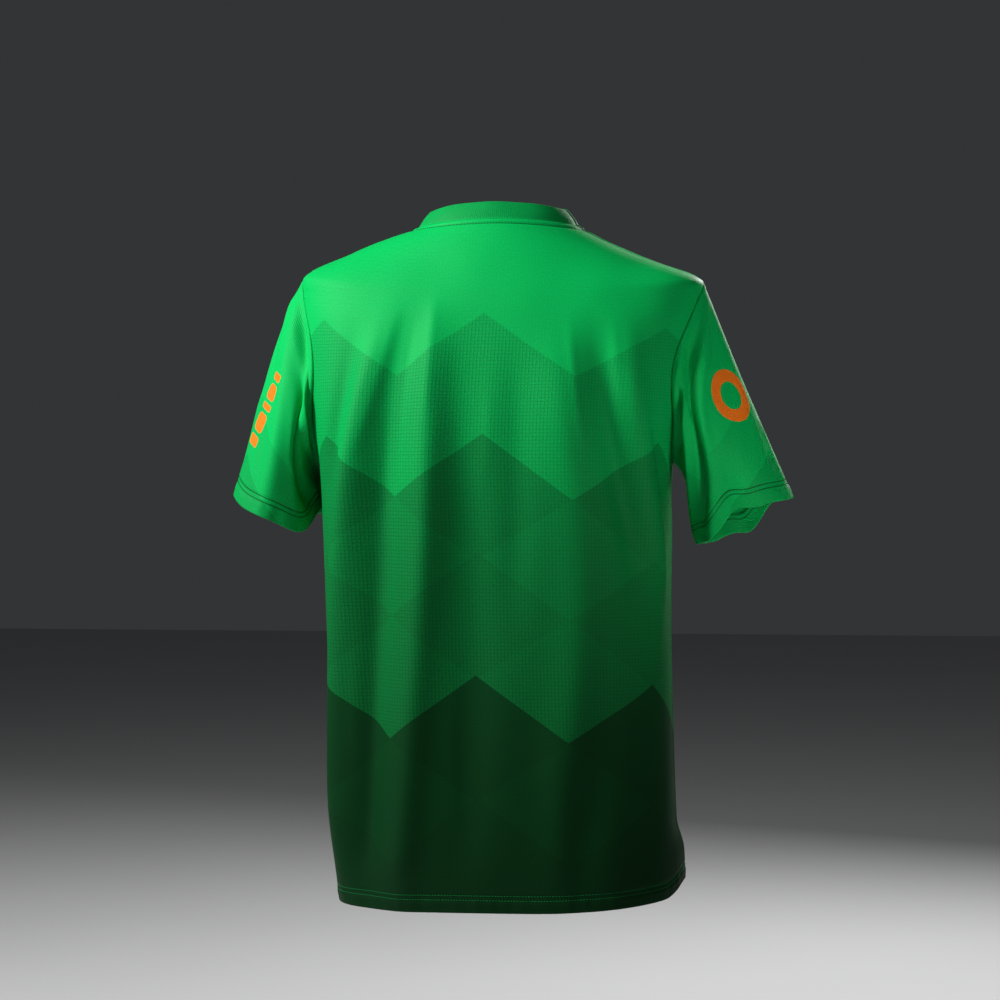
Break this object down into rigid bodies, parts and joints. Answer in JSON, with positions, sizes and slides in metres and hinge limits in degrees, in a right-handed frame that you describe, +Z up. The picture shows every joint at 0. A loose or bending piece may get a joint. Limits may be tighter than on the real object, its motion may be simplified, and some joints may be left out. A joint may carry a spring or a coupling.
{
  "type": "football jersey",
  "caption": "Short-sleeved knitted football jersey in its worn, hollow form, with set-in sleeves, turned-up hem and cuffs and a narrow standing neck band.",
  "frame": {"origin": "middle of the neck opening, level with the inner ends of the shoulder seams, where the wearer's neck holds the jersey up", "axes": "+Z up, the front of the jersey faces -Y, the wearer's left arm is on +X"},
  "size_m": [0.6205, 0.2567, 0.7573],
  "materials": {
    "printed_knit": "light polyester knit with a soft sheen, printed with green zigzags that darken to the hem",
    "sleeve_knit": "light polyester knit with a soft sheen",
    "neck_rib": "fine folded rib, matt"
  },
  "bodies": {
    "root": {"back_panel": "printed_knit", "front_panel": "printed_knit", "left_sleeve": "sleeve_knit", "right_sleeve": "sleeve_knit", "collar_band": "neck_rib"}
  },
  "joints": []
}
